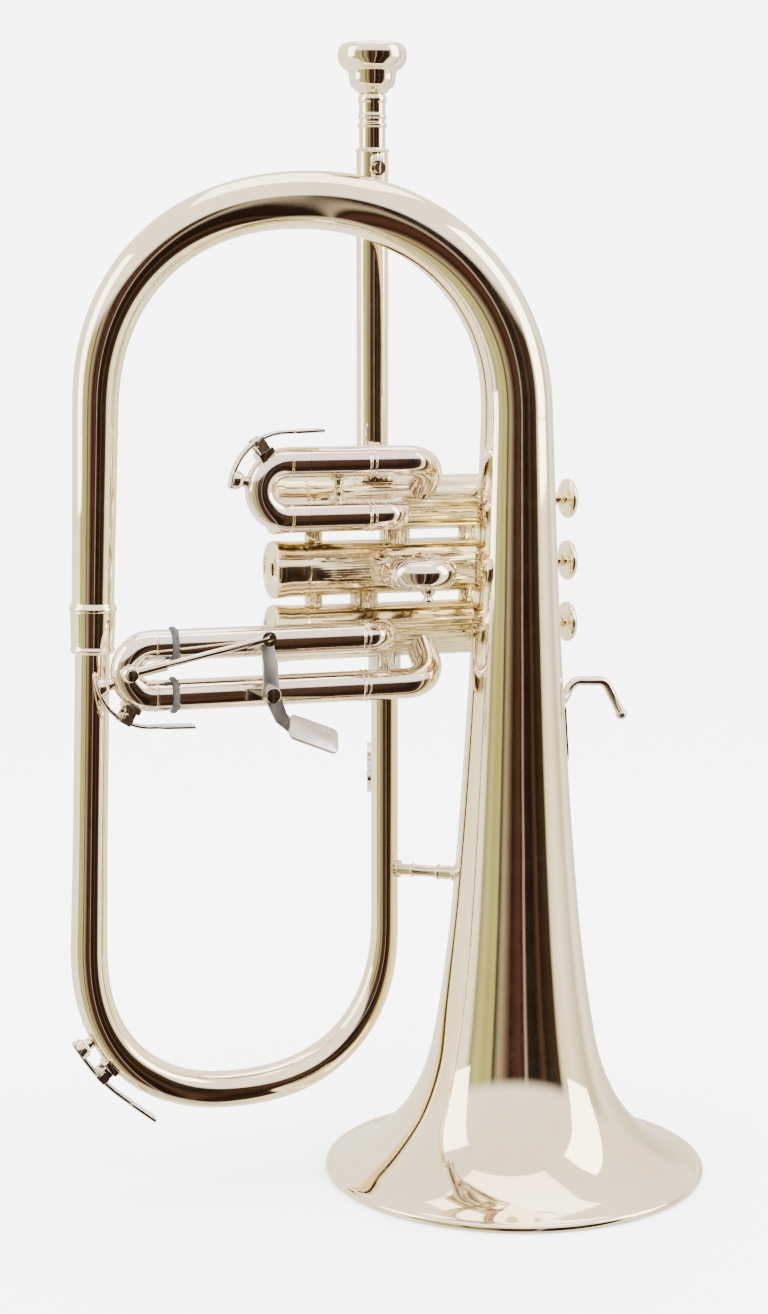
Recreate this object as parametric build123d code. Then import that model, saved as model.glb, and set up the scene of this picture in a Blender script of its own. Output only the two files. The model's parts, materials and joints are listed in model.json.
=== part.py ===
from build123d import *
from math import cos, degrees, exp, hypot, radians, sin
import os

# Flugelhorn standing on its bell, in millimetres.
# X runs along the valves towards the finger buttons, Z runs up the bell and -Y is the bell's side.
# Shapes are laid out from the leadpipe's axis at X = Y = 0, with Z = 0 in the plane of the bell's rim.
# At the end every piece is moved so that the origin lies under the middle of the instrument.

# Bell and bow
bell_radius = 76.0
bell_x, bell_y = 48.5, -34.6
bell_top = 302.0
bell_wall = 0.6
rim_wire = 1.5
rim_flat = 0.1
bow_base = 305.7
bow_squareness = [2.06, 2.2]
bow_radius = 14.3
bow_taper_length = 550.0
left_y = -6.0
left_top_x = -114.6
left_low_x, left_low_z = -119.2, 95.7
tube_wall = 0.7
ferrule_low, ferrule_high = 212.3, 232.0
ferrule_radius = 8.3
ferrule_bead = 0.45
pocket_depth = 2.3

# Lower bow and lower leg
leg_x = 5.2
leg_radius = 5.5
leg_top = 196.0
lower_base = 95.7
lower_radius = 7.2
left_radius = 6.75
lower_squareness = 2.3

# Leadpipe, receiver, tuning bit and mouthpiece
lead_radius = 6.4
lead_bore = 5.45
receiver_low, receiver_high = 385.0, 409.0
receiver_radius = 6.35
bit_radius = 5.3
bit_low, bit_high = 372.0, 430.2
mouthpiece_top = 450.4
shank_depth = 22.0
fit_gap = 0.05

# Valves: axes along X, one above the other
valve_spacing = 25.67
valve_heights = [241.9 + valve_spacing, 241.9, 241.9 - valve_spacing]
casing_radius = 11.1
casing_bore = 9.45
casing_left, casing_right = -35.0, 60.0
thread_radius = 10.4
cap_radius = 11.6
cap_face = -43.2
top_cap_end = 67.3
stroke = 15.5
stem_radius = 2.6
button_radius = 8.25
button_top = 87.3
piston_low, piston_high = -24.0, 59.5
barrel_floor = 24.5
windway = 5.0
knuckle_x = [9.6, -3.6]
post_x = [-25.0, 41.0]

# Slides: legs parallel to the valves, in front of them
slide_y = -21.5
slide_radius = 6.05
inner_radius = 5.35
slide_bore = 4.85
first_heights = [285.7, 264.4]
third_heights = [216.4, 196.9]
second_x = [1.0, 17.5]
first_end_x = [18.2, 5.0]
third_end_x = [-1.0, 18.2]
first_crook_x = -42.8
third_crook_x = -97.4
second_crook_y = -31.5
running_gap = 0.06

# Trigger of the third slide
pivot = Vector(-52.4, -32.3, 196.8)
lever_thickness = 2.0
arm_top = Vector(-54.6, -32.3, 219.0)
rod_ball = Vector(-108.0, -32.0, 207.1)
rod_end = Vector(-54.6, -35.9, 219.0)
screw_radius = 1.6


def turned(outline):
    """Solid of revolution about Z from (radius, height) points."""
    return revolve(make_face(Polyline(*[(r, 0, z) for r, z in outline], close=True)), Axis.Z)


def along_x(shape, height, y=0.0):
    """Turns a Z-axis shape onto X, at the given height."""
    return Pos(0, y, height) * (Rot(0, 90, 0) * shape)


def rod(start, end, radius):
    """Round bar between two points."""
    start, end = Vector(*start), Vector(*end)
    axis = end - start
    bar = extrude(Plane(start, z_dir=axis.normalized()) * Circle(radius), axis.length)
    return bar


def pipe(path, outer, inner):
    """Tube of constant section along a path of lines and arcs."""
    section = Plane(path @ 0, z_dir=path % 0)
    skin = sweep(section * Circle(outer), path)
    if inner <= 0:
        return skin
    return skin - sweep(section * Circle(inner), path)


def tapered(head, curve, tail, wall):
    """Tapered tube: a bend through evenly spaced (centre, direction, radius) stations, with straight ends."""
    side = (curve[-1][0] - curve[0][0]).cross(Vector(0, 0, 1)).normalized()

    def skin(shrink):
        def ring(station):
            centre, direction, radius = station
            return Plane(centre, x_dir=side, z_dir=direction) * Circle(radius - shrink)

        body = loft([ring(station) for station in curve])
        for run in (head + curve[:1], curve[-1:] + tail):
            for pair in zip(run, run[1:]):
                body += loft([ring(station) for station in pair], ruled=True)
        return body

    return skin(0) - skin(wall) if wall else skin(0)


def u_path(start, turn_start, turn_mid, turn_end, end):
    """Two straight legs joined by a half circle."""
    return Wire([Line(start, turn_start), ThreePointArc(turn_start, turn_mid, turn_end), Line(turn_end, end)])


def squared_arc(angle, half_width, squareness):
    """Point on a slightly squared circle about the origin."""
    c, s = cos(radians(angle)), sin(radians(angle))
    radius = half_width / (abs(c) ** squareness + abs(s) ** squareness) ** (1 / squareness)
    return radius * c, radius * s


def bend(point_at, angles, radius_at, first, last):
    """Stations along a planar curve, with end directions given and the rest by central difference."""
    stations = []
    length = 0.0
    before = point_at(angles[0])
    for angle in angles:
        here = point_at(angle)
        length += (here - before).length
        direction = (point_at(angle + 0.5) - point_at(angle - 0.5)).normalized()
        direction = {angles[0]: first, angles[-1]: last}.get(angle, direction)
        stations.append((here, direction, radius_at(length)))
        before = here
    return stations


def band(radius, height, proud, width=1.0):
    """Thin bevelled ring on a Z-axis tube."""
    inside, half = radius - 0.3, width / 2
    return turned([(inside, height - half), (radius, height - half), (radius + proud, height - half * 0.4),
                   (radius + proud, height + half * 0.4), (radius, height + half), (inside, height + half)])


# Bell

flare = [(bow_radius, bell_top), (15.5, 270), (17.1, 230), (19.3, 190), (22.5, 142), (26.3, 98),
         (30.8, 64), (35.4, 42.5), (43.0, 26), (52.5, 14.8), (64.0, 6.6), (73.2, 2.6)]


def flare_curve(offset):
    """Spline of the bell's wall, moved outwards along its normal by the offset."""
    points = []
    for i, (r, z) in enumerate(flare):
        r0, z0 = flare[max(i - 1, 0)]
        r1, z1 = flare[min(i + 1, len(flare) - 1)]
        size = hypot(r1 - r0, z1 - z0)
        points.append((r - offset * (z1 - z0) / size, 0, z + offset * (r1 - r0) / size))
    points[0] = (flare[0][0] + offset, 0, bell_top)
    return Spline(*points)


def flare_shell(inside, outside):
    """Shell between two offsets of the bell's wall."""
    inner, outer = flare_curve(inside), flare_curve(outside)
    face = make_face([inner, outer, Line(inner @ 0, outer @ 0), Line(inner @ 1, outer @ 1)])
    return Pos(bell_x, bell_y, 0) * revolve(face, Axis.Z)


bell = flare_shell(-bell_wall, 0)
rim = Pos(bell_x, bell_y, rim_wire - rim_flat) * Torus(bell_radius - rim_wire, rim_wire)
rim = rim - Pos(bell_x, bell_y, -5) * Cylinder(90, 10) - bell
outline = flare_curve(0)
core = make_face([outline, Polyline(outline @ 1, (0, 0, (outline @ 1).Z), (0, 0, bell_top), outline @ 0)])
bell_core = Pos(bell_x, bell_y, 0) * revolve(core, Axis.Z)
foot_skin = flare_shell(0, 1.2)


# Upper bow and ferrule

left_slope = (left_top_x - left_low_x) / (bow_base - left_low_z)


def left_axis(z):
    """Centre of the slightly leaning left tube at a height."""
    return Vector(left_low_x + left_slope * (z - left_low_z), left_y, z)


bow_half = (bell_x - left_top_x) / 2
bow_middle = (bell_x + left_top_x) / 2


def bow_point(angle):
    """Centreline of the upper bow, from the bell at 0 degrees to the left tube at 180."""
    x, z = squared_arc(angle, bow_half, bow_squareness[0 if angle < 90 else 1])
    share = (bell_x - bow_middle - x) / (2 * bow_half)
    return Vector(bow_middle + x, bell_y + share * (left_y - bell_y), bow_base + z)


def bow_size(length):
    return bow_radius * exp(-length / bow_taper_length)


up = Vector(0, 0, 1)
down = (left_axis(0) - left_axis(100)).normalized()
bow_bend = bend(bow_point, list(range(0, 181, 15)), bow_size, up, down)
bow_end = bow_bend[-1][2]
bow_foot = bow_end - 0.75
bow_head = [(Vector(bell_x, bell_y, bell_top), up, bow_radius)]
upper_bow = tapered(bow_head, bow_bend, [(left_axis(ferrule_high - 2), down, bow_foot)], tube_wall)

ferrule_axis = Plane(left_axis(ferrule_low), z_dir=-down)
ferrule_length = ferrule_high - ferrule_low
pocket = bow_foot + 0.15
ferrule = ferrule_axis * turned([(pocket, ferrule_length), (pocket, ferrule_length - pocket_depth),
                                 (6.8, ferrule_length - 3.4), (6.8, 0), (7.4, 0), (ferrule_radius + 0.1, 1.0),
                                 (bow_foot + 0.6, ferrule_length - 0.8), (bow_foot + 0.4, ferrule_length)])
ferrule += [ferrule_axis * band(ferrule_radius, z, ferrule_bead, 1.4) for z in (1.8, ferrule_length - 1.8)]
ferrule = ferrule - ferrule_axis * (Pos(0, 0, ferrule_length - pocket_depth / 2) * Cylinder(pocket, pocket_depth))


# Lower bow, left tube and lower leg

lower_middle = (leg_x + left_low_x) / 2
lower_half = (leg_x - left_low_x) / 2


def lower_point(angle):
    """Centreline of the lower bow, from the left tube at 180 degrees to the lower leg at 360."""
    x, z = squared_arc(angle, lower_half, lower_squareness)
    share = (x + lower_half) / (2 * lower_half)
    return Vector(lower_middle + x, left_y * (1 - share), lower_base + z)


def lower_size(length):
    """Full round the bottom of the bow and slimmer towards the lower leg."""
    slim = max(length - 125, 0) / 75
    return lower_radius - (lower_radius - leg_radius) * min(slim, 1)


lower_bend = bend(lower_point, list(range(180, 361, 15)), lower_size, down, up)
lower_head = [(left_axis(ferrule_high - 4), down, left_radius), (left_axis(130), down, left_radius)]
lower_tail = [(Vector(leg_x, 0, leg_top + 2), up, leg_radius)]
lower_bow = tapered(lower_head, lower_bend, lower_tail, tube_wall)
lower_core = tapered(lower_head, lower_bend, lower_tail, 0)
leg_collar = Pos(leg_x, 0, 0) * turned([(leg_radius, leg_top), (6.6, leg_top), (6.6, 208), (leg_radius - 0.6, 208),
                                        (leg_radius - 0.6, leg_top + 2), (leg_radius, leg_top + 2)])


# Valves

def casing_block(height):
    """Solid cylinder of one casing's outside."""
    return along_x(Pos(0, 0, (casing_left + casing_right) / 2)
                   * Cylinder(casing_radius, casing_right - casing_left), height)


casing_blocks = Part() + [casing_block(z) for z in valve_heights]


def port(x, height, direction):
    """Round hole through one wall of a casing."""
    start = Vector(x, 0, height)
    return rod(start, start + Vector(*direction) * 14, windway)


def valve_casing(index):
    """Casing tube with threaded ends, keyway and windway ports."""
    height = valve_heights[index]
    tube = turned([(casing_bore, casing_left), (thread_radius, casing_left), (thread_radius, casing_left + 6),
                   (casing_radius, casing_left + 6), (casing_radius, casing_right - 6),
                   (thread_radius, casing_right - 6), (thread_radius, casing_right),
                   (casing_bore, casing_right)])
    keyway = Pos(0, 0, casing_right - 18) * Box(2 * 10.05, 3.2, 37)
    ports = [port(x, height, d) for x, d in casing_ports[index]]
    return along_x(tube - (keyway - Pos(0, 0, casing_right - 18) * Cylinder(casing_bore, 40)), height) - ports


def toward(leg_height, index):
    """Direction from a casing's axis to the slide leg that joins it."""
    return Vector(0, slide_y, leg_height - valve_heights[index]).normalized()


front, above, below = (0, -1, 0), (0, 0, 1), (0, 0, -1)
casing_ports = [
    [(0.0, above), (knuckle_x[0], below), (first_end_x[0], toward(first_heights[0], 0)),
     (first_end_x[1], toward(first_heights[1], 0))],
    [(knuckle_x[0], above), (knuckle_x[1], below), (second_x[0], front), (second_x[1], front)],
    [(knuckle_x[1], above), (leg_x, below), (third_end_x[0], toward(third_heights[0], 2)),
     (third_end_x[1], toward(third_heights[1], 2))],
]


def bottom_cap():
    """Screwed cap with a rounded edge, a recessed face and a vent hole."""
    return turned([(2.65, -40.6), (2.65, cap_face + 0.9), (8.6, cap_face + 0.9), (9.1, cap_face),
                   (cap_radius - 1.3, cap_face), (cap_radius - 0.4, cap_face + 0.4), (cap_radius, cap_face + 1.3),
                   (cap_radius, -39.0), (casing_radius + 0.1, -32.0), (casing_radius + 0.1, casing_left + 6),
                   (thread_radius, casing_left + 6), (thread_radius, casing_left), (casing_bore, casing_left),
                   (casing_bore, -40.6)])


def top_cap():
    """Screwed cap with a grip band and a hole for the stem."""
    hole = stem_radius + 0.08
    return turned([(hole, 65.8), (thread_radius, 65.8), (thread_radius, casing_right - 6),
                   (11.3, casing_right - 6), (12.0, 55.5), (12.0, 62.0), (11.2, 63.0), (9.8, 66.2),
                   (7.6, top_cap_end), (hole, top_cap_end)])


def stack(piece):
    """The same piece on all three valves."""
    return Part() + [along_x(piece, z) for z in valve_heights]


def piston():
    """Piston body with cross windways below and a slotted spring barrel above."""
    body = turned([(0, piston_low + 3), (7.0, piston_low + 3), (7.0, piston_low), (casing_bore - fit_gap, piston_low),
                   (casing_bore - fit_gap, piston_high), (8.2, piston_high), (8.2, barrel_floor), (0, barrel_floor)])
    slot = Pos(0, 0, barrel_floor + stroke / 2 + 2.2) * Box(30, 3.0, stroke + 3.6)
    windways = [Pos(0, 0, z) * (Rot(*turn) * Cylinder(4.6, 30))
                for z, turn in ((3.0, (0, 90, 0)), (-9.5, (90, 0, 0)), (15.8, (90, 0, 0)))]
    return body - slot - windways


def stem():
    """Base flange screwed into the barrel, with the long stem on it."""
    return turned([(0, piston_high), (8.8, piston_high), (8.8, 62.4), (stem_radius, 62.4),
                   (stem_radius, 84.2), (0, 84.2)])


def button():
    """Mushroom-shaped finger button."""
    rim_height = 85.0
    return turned([(stem_radius, 83.2), (4.0, 83.2), (7.4, 84.3), (button_radius, rim_height),
                   (button_radius, 86.1), (7.2, button_top), (5.6, button_top), (5.2, 86.9), (0, 86.9),
                   (0, 84.2), (stem_radius, 84.2)])


def valve_guide():
    """Bar across the barrel, with both ends in the casing's keyway."""
    disc = Pos(0, 0, barrel_floor + 2.0) * Cylinder(7.8, 2.0)
    bar = Pos(0, 0, barrel_floor + 2.0) * Box(2 * 9.95, 2.6, 2.0)
    return disc + bar - Pos(0, 0, barrel_floor) * Cylinder(2.4, 12)


def spring():
    """Open coil between the guide and the stem's flange."""
    wire = 0.4
    low, high = barrel_floor + 3.0 + wire + 0.05, piston_high - wire - 0.05
    coil = Helix(pitch=(high - low) / 8, height=high - low, radius=6.8)
    section = Plane(coil @ 0, z_dir=coil % 0)
    return Pos(0, 0, low) * sweep(section * Circle(wire), path=coil, is_frenet=True)


casings = [valve_casing(i) for i in range(3)]


def between(x, upper, radius, hole=0.0):
    """Short post or tube that joins two neighbouring casings."""
    top, low = valve_heights[upper], valve_heights[upper + 1]
    solid = rod((x, 0, low), (x, 0, top), radius) - casing_blocks
    return solid - rod((x, 0, low), (x, 0, top), hole) if hole else solid


balusters = Part() + [between(x, i, 3.6) for x in post_x for i in range(2)]
knuckles = Part() + [between(x, i, r, windway) for i, (x, r) in enumerate(zip(knuckle_x, (6.2, 5.7)))]

leg_collar = leg_collar - casing_blocks


# Leadpipe, receiver, clamp screw, tuning bit and mouthpiece

leadpipe = turned([(lead_bore, 270), (lead_radius, 270), (lead_radius, receiver_low), (lead_bore, receiver_low)])
leadpipe = leadpipe - casing_blocks
lead_flange = turned([(lead_radius, 277), (9.0, 277), (9.0, 281), (lead_radius + 1.0, 283.5), (lead_radius, 284.5)])
lead_flange = lead_flange - casing_blocks
clamp_z = 401.0
receiver = turned([(lead_bore, receiver_low), (receiver_radius, receiver_low), (receiver_radius, receiver_high - 1.6),
                   (receiver_radius + 0.5, receiver_high - 0.8), (receiver_radius, receiver_high),
                   (bit_radius + fit_gap, receiver_high), (bit_radius + fit_gap, receiver_low + 2),
                   (lead_bore, receiver_low + 2)])
receiver += rod((0, -5.8, clamp_z), (0, -7.6, clamp_z), 3.0)
receiver = receiver - rod((0, -5, clamp_z), (0, -9, clamp_z), screw_radius + fit_gap)
clamp_screw = rod((0, -5.5, clamp_z), (0, -7.9, clamp_z), screw_radius)
clamp_screw += rod((0, -7.9, clamp_z), (0, -9.7, clamp_z), 2.3)
clamp_screw = clamp_screw - Pos(0, -9.7, clamp_z) * Box(0.7, 1.4, 6)

shank_top, shank_tip = 4.3, 3.9
shank_low = bit_high - shank_depth
bit = turned([(shank_tip, bit_low), (bit_radius - 0.2, bit_low), (bit_radius, bit_low + 2),
              (bit_radius, receiver_high + 8.2), (5.9, receiver_high + 8.8), (5.9, receiver_high + 9.6),
              (bit_radius - 0.15, receiver_high + 10.2), (bit_radius - 0.15, receiver_high + 11.6),
              (5.8, receiver_high + 12.2), (5.8, receiver_high + 13.0), (bit_radius, receiver_high + 13.8),
              (bit_radius, bit_high - 3.4), (5.8, bit_high - 2.6), (5.8, bit_high - 1.2),
              (bit_radius, bit_high), (shank_top + fit_gap, bit_high), (shank_tip + fit_gap, shank_low),
              (shank_tip, shank_low - 0.5)])

cup_floor = mouthpiece_top - 13.0
mouthpiece = turned([(2.2, shank_low + 0.3), (shank_tip, shank_low + 0.3), (shank_top, bit_high - 0.3),
                     (shank_top, bit_high + 0.3), (5.3, bit_high + 0.4), (6.0, bit_high + 1.2),
                     (7.3, 432.6), (8.2, 433.2), (9.2, 434.6), (9.4, 437.5), (9.75, 439.4),
                     (11.6, 440.6), (12.9, 442.4), (13.7, 444.0), (13.8, 446.8), (13.3, 448.8),
                     (11.8, mouthpiece_top - 0.3), (10.5, mouthpiece_top), (9.2, mouthpiece_top - 0.4),
                     (8.4, mouthpiece_top - 1.6), (7.9, mouthpiece_top - 4.5), (6.2, mouthpiece_top - 8.5),
                     (2.6, cup_floor), (2.0, cup_floor - 3)])


# First, second and third slides

def elbow(start, corner, target, radius=8.0):
    """Leg that turns off its straight run into a casing."""
    return FilletPolyline(start, corner, target, radius=radius)


def legs(routes):
    """Outer slide legs with their end rings, cut where they meet the casings."""
    tubes = [pipe(route, slide_radius, inner_radius + running_gap) for route in routes]
    return Part() + tubes - casing_blocks


def collars(places, height, proud=0.4):
    """Slim rings around a leg that runs along X."""
    return [along_x(band(slide_radius, x, proud), height, slide_y) for x in places]


def crook(solid_bend, bore_path, inner_legs):
    """Crook: solid bend and inner legs, bored through in one go."""
    return solid_bend + inner_legs - pipe(bore_path, slide_bore, 0)


def level_crook(turn_x, heights, ferrule_end, inner_end):
    """Crook of a slide whose legs lie one above the other along X."""
    high, low = heights

    def route(open_end):
        near = [(turn_x, slide_y, z) for z in heights]
        apex = (turn_x - (high - low) / 2, slide_y, (high + low) / 2)
        return u_path((open_end, slide_y, high), near[0], apex, near[1], (open_end, slide_y, low))

    inner = [rod((ferrule_end, slide_y, z), (inner_end, slide_y, z), inner_radius) for z in heights]
    bend_solid = pipe(route(ferrule_end), slide_radius, 0)
    return crook(bend_solid, route(inner_end + 1), inner), bend_solid


first_start = -34.2
first_routes = [
    elbow((first_start, slide_y, first_heights[0]), (first_end_x[0], slide_y, first_heights[0]),
          (first_end_x[0], 0, valve_heights[0]), 11.0),
    elbow((first_start, slide_y, first_heights[1]), (first_end_x[1], slide_y, first_heights[1]),
          (first_end_x[1], 0, valve_heights[0])),
]
first_legs = legs(first_routes)
first_crook, first_bend = level_crook(first_crook_x, first_heights, first_start - 0.3, -14.0)
for z in first_heights:
    first_legs = first_legs + collars([-9.6, -7.6], z)
    first_crook = first_crook + collars([first_crook_x + 1.3], z, 0.25)
leg_bars = Part() + [along_x(Cylinder(slide_radius, 200), z, slide_y) for z in first_heights]
first_brace = Pos(-21.6, slide_y, (first_heights[0] + first_heights[1]) / 2) * turned(
    [(0, -6.5), (3.6, -6.5), (3.6, -3.9), (1.9, -3.2), (2.0, -1.2), (3.0, 0), (2.0, 1.2), (1.9, 3.2),
     (3.6, 3.9), (3.6, 6.5), (0, 6.5)])
first_brace = first_brace - leg_bars

third_start = -86.8
third_routes = [
    elbow((third_start, slide_y, third_heights[0]), (third_end_x[0], slide_y, third_heights[0]),
          (third_end_x[0], 0, valve_heights[2])),
    elbow((third_start, slide_y, third_heights[1]), (third_end_x[1], slide_y, third_heights[1]),
          (third_end_x[1], 0, valve_heights[2]), 11.0),
]
third_legs = legs(third_routes)
third_crook, third_bend = level_crook(third_crook_x, third_heights, third_start - 3.4, -60.0)
for z in third_heights:
    third_legs = third_legs + collars([-12.2, -10.2], z)
    third_crook = third_crook + collars([third_crook_x + 1.6], z, 0.25)
bumper = turned([(inner_radius, -1.3), (6.3, -1.3), (7.1, -0.6), (7.1, 0.6), (6.3, 1.3), (inner_radius, 1.3)])
bumpers = Part() + [along_x(Pos(0, 0, third_start - 1.9) * bumper, z, slide_y) for z in third_heights]

second_z = valve_heights[1]
second_mouth = -24.0
second_routes = [Line((x, 0, second_z), (x, second_mouth, second_z)) for x in second_x]
second_legs = Part() + [pipe(Wire([line]), slide_radius, inner_radius + running_gap) for line in second_routes]
second_legs = second_legs - casing_blocks
second_mid = sum(second_x) / 2
second_reach = (second_x[1] - second_x[0]) / 2
second_far = second_mouth - 0.3


def second_route(open_end):
    near = [(x, second_crook_y, second_z) for x in second_x]
    apex = (second_mid, second_crook_y - second_reach, second_z)
    return u_path((second_x[0], open_end, second_z), near[0], apex, near[1], (second_x[1], open_end, second_z))


second_bend = pipe(second_route(second_far), slide_radius, 0)
second_inner = [rod((x, second_far, second_z), (x, -casing_radius - 1.0, second_z), inner_radius) for x in second_x]
second_crook = crook(second_bend, second_route(-casing_radius), second_inner)
second_crook = second_crook + [Pos(x, 0, second_z) * (Rot(90, 0, 0) * band(slide_radius, -second_far + 2.2, 0.3))
                               for x in second_x]
knob_y = second_crook_y - second_reach
knob = Pos(second_mid, knob_y, second_z) * turned([(0, -4.5), (3.2, -5.2), (2.7, -7.4), (1.5, -8.6), (2.0, -9.6),
                                                     (1.9, -10.8), (0, -11.6)])
knob = knob - second_bend


# Trigger: bracket on the third slide's lower leg, lever, pivot screw and link rod

leg_front = slide_y - slide_radius
lever_back = pivot.Y + lever_thickness / 2
bracket = Pos(pivot.X - 3.2, leg_front + 0.4, pivot.Z) * Box(12.0, 4.0, 4.4)
bracket += rod((pivot.X, leg_front + 2.0, pivot.Z), (pivot.X, lever_back + 0.3, pivot.Z), 3.0)
bracket = bracket - along_x(Cylinder(slide_radius, 400), third_heights[1], slide_y)
bracket = bracket - rod((pivot.X, -24, pivot.Z), (pivot.X, -40, pivot.Z), screw_radius)
pivot_screw = rod((pivot.X, leg_front - 0.4, pivot.Z), (pivot.X, pivot.Y - 1.3, pivot.Z), screw_radius)
pivot_screw += rod((pivot.X, pivot.Y - 1.3, pivot.Z), (pivot.X, pivot.Y - 3.2, pivot.Z), 3.1)


def flat_bar(points, widths):
    """Flat strip in the lever's plane, as hulls of discs along a run of points."""
    strip = Sketch()
    for (p, q), (a, b) in zip(zip(points, points[1:]), zip(widths, widths[1:])):
        strip += make_hull((Sketch() + [Pos(*p) * Circle(a / 2), Pos(*q) * Circle(b / 2)]).edges())
    return strip


lever_run = [(arm_top.X, arm_top.Z), (-52.8, 208.0), (pivot.X, pivot.Z), (-48.6, 187.6), (-43.5, 183.0)]
lever_flat = flat_bar(lever_run, [4.6, 5.8, 6.4, 5.2, 4.6])
lever = extrude(Plane((0, pivot.Y, 0), x_dir=(1, 0, 0), z_dir=(0, -1, 0)) * lever_flat, lever_thickness / 2, both=True)
paddle = Box(21.0, 12.5, 1.4)
paddle = fillet(paddle.edges().filter_by(Axis.Z), 2.4)
lever += Pos(-36.8, pivot.Y - 4.6, 181.2) * (Rot(0, 22, 0) * (Rot(40, 0, 0) * paddle))
lever = lever - rod((pivot.X, -20, pivot.Z), (pivot.X, -45, pivot.Z), screw_radius + running_gap)

stud = rod((rod_ball.X, leg_front + 3, rod_ball.Z), (rod_ball.X, rod_ball.Y - 4.2, rod_ball.Z), screw_radius)
stud += rod((rod_ball.X, leg_front + 3, rod_ball.Z), (rod_ball.X, rod_ball.Y + 3.4, rod_ball.Z), 2.6)
stud += rod((rod_ball.X, rod_ball.Y - 3.6, rod_ball.Z), (rod_ball.X, rod_ball.Y - 4.8, rod_ball.Z), 2.2)
stud = stud - third_bend
run = rod_end - rod_ball
link = rod(rod_ball + run * 0.05, rod_ball + run * 0.26, 2.1) + rod(rod_ball + run * 0.2, rod_end, 1.3)
link += rod(rod_ball + run * 0.84, rod_end, 1.9)
link += rod((rod_end.X, rod_end.Y + 1.3, rod_end.Z), (rod_end.X, rod_end.Y - 1.6, rod_end.Z), 2.9)
housing_hole = screw_radius + running_gap
housing = turned([(housing_hole, -3.0), (2.4, -3.0), (3.3, -1.4), (3.3, 1.4), (2.4, 3.0), (housing_hole, 3.0)])
link += Pos(*rod_ball) * (Rot(90, 0, 0) * housing)


# Water keys: a saddle, a lever, a cork and a screw, laid round the outside of a bend

def water_key(centre, y, surface, cup, hinge, tip, tip_length, tube):
    """Saddle, lever, cork and screw, placed by angles round the bend's centre."""
    cx, cz = centre
    turn = 1 if tip > cup else -1

    def at(angle, radius, dy=0.0):
        return Vector(cx + radius * cos(radians(angle)), y + dy, cz + radius * sin(radians(angle)))

    hinge_radius = surface + 4.6
    strip = hinge_radius + 1.2
    back, end = cup - turn * degrees(3.4 / strip), tip
    curve = ThreePointArc(at(back, strip), at((back + end) / 2, strip), at(end, strip))
    heading = (curve % 1).normalized()
    straight = Line(curve @ 1, (curve @ 1) + heading * tip_length)
    spine = Wire([curve, straight])
    section = Plane(spine @ 0, x_dir=(0, 1, 0), z_dir=spine % 0)
    blade = sweep(section * RectangleRounded(4.4, 1.3, 0.5), spine)
    pad_plane = Plane(straight @ 0.25, x_dir=(0, 1, 0), z_dir=heading)
    blade += extrude(pad_plane * RectangleRounded(7.4, 1.3, 0.5), tip_length * 0.75 + 1.5)
    pivot_ends = [at(hinge, hinge_radius, d) for d in (-2.2, 2.2)]
    blade += rod(pivot_ends[0], pivot_ends[1], 2.2)
    blade += rod(at(cup, surface + 3.2), at(cup, strip), 3.7)
    blade = blade - rod(at(cup, surface + 1), at(cup, surface + 4.4), 3.1)
    blade = blade - rod(at(hinge, hinge_radius, -6), at(hinge, hinge_radius, 6), 1.1 + running_gap)
    cork = rod(at(cup, surface + 2.1), at(cup, surface + 4.4), 3.1)
    foot = Plane(at(hinge, surface), x_dir=(0, 1, 0), z_dir=(at(hinge, surface + 1) - at(hinge, surface)))
    saddle = foot * (Pos(0, 0, 0.2) * Box(9.4, 6.6, 2.4))
    saddle += [foot * (Pos(side * 3.6, 0, 3.2) * Box(1.8, 4.4, 7.2)) for side in (-1, 1)]
    saddle += rod(at(cup, surface - 1.5), at(cup, surface + 1.7), 2.3)
    saddle = saddle - rod(at(hinge, hinge_radius, -6), at(hinge, hinge_radius, 6), 1.1)
    saddle = saddle - tube - rod(at(cup, surface - 3), at(cup, surface + 3), 1.2)
    screw = rod(at(hinge, hinge_radius, -5.6), at(hinge, hinge_radius, 5.0), 1.1)
    screw += rod(at(hinge, hinge_radius, -6.2), at(hinge, hinge_radius, -4.6), 1.9)
    return saddle, blade, cork, screw


first_surface = (first_heights[0] - first_heights[1]) / 2 + slide_radius
third_surface = (third_heights[0] - third_heights[1]) / 2 + slide_radius
lower_key_radius = 64.6
water_keys = {
    "first": water_key((first_crook_x, sum(first_heights) / 2), slide_y, first_surface, 168, 122, 92, 14, first_bend),
    "third": water_key((third_crook_x, sum(third_heights) / 2), slide_y, third_surface, 196, 240, 268, 16, third_bend),
    "lower": water_key((lower_middle, lower_base), left_y + 0.6, lower_key_radius + lower_radius, 211, 221, 231, 14,
                       lower_core),
}


# Braces, finger hook and lyre ring

def bell_foot(height, heading, length, width):
    """Oval plate that hugs the bell's wall, facing a horizontal heading."""
    plane = Plane((bell_x, bell_y, height), x_dir=(0, 0, 1), z_dir=(*heading, 0))
    return foot_skin & extrude(plane * SlotOverall(length, width), 60)


back_left = (-0.46, 0.888)
bell_braces = []
for low_end, high_end, foot_z in ((270.0, 281.0, 281.0), (213.0, 200.5, 200.5)):
    arm = rod((41, -8, low_end), (44, -30, high_end), 2.3) - bell_core - casing_blocks
    bell_braces += [arm + bell_foot(foot_z, back_left, 26, 8)]
ball_arm = rod((41, -8, second_z), (44, -30, second_z), 1.9) + Pos(42, -15.2, second_z) * Sphere(3.3)
bell_braces += [ball_arm + rod((43.2, -18, second_z), (44, -30, second_z), 3.0) - bell_core - casing_blocks]
bell_braces = Part() + bell_braces

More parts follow.
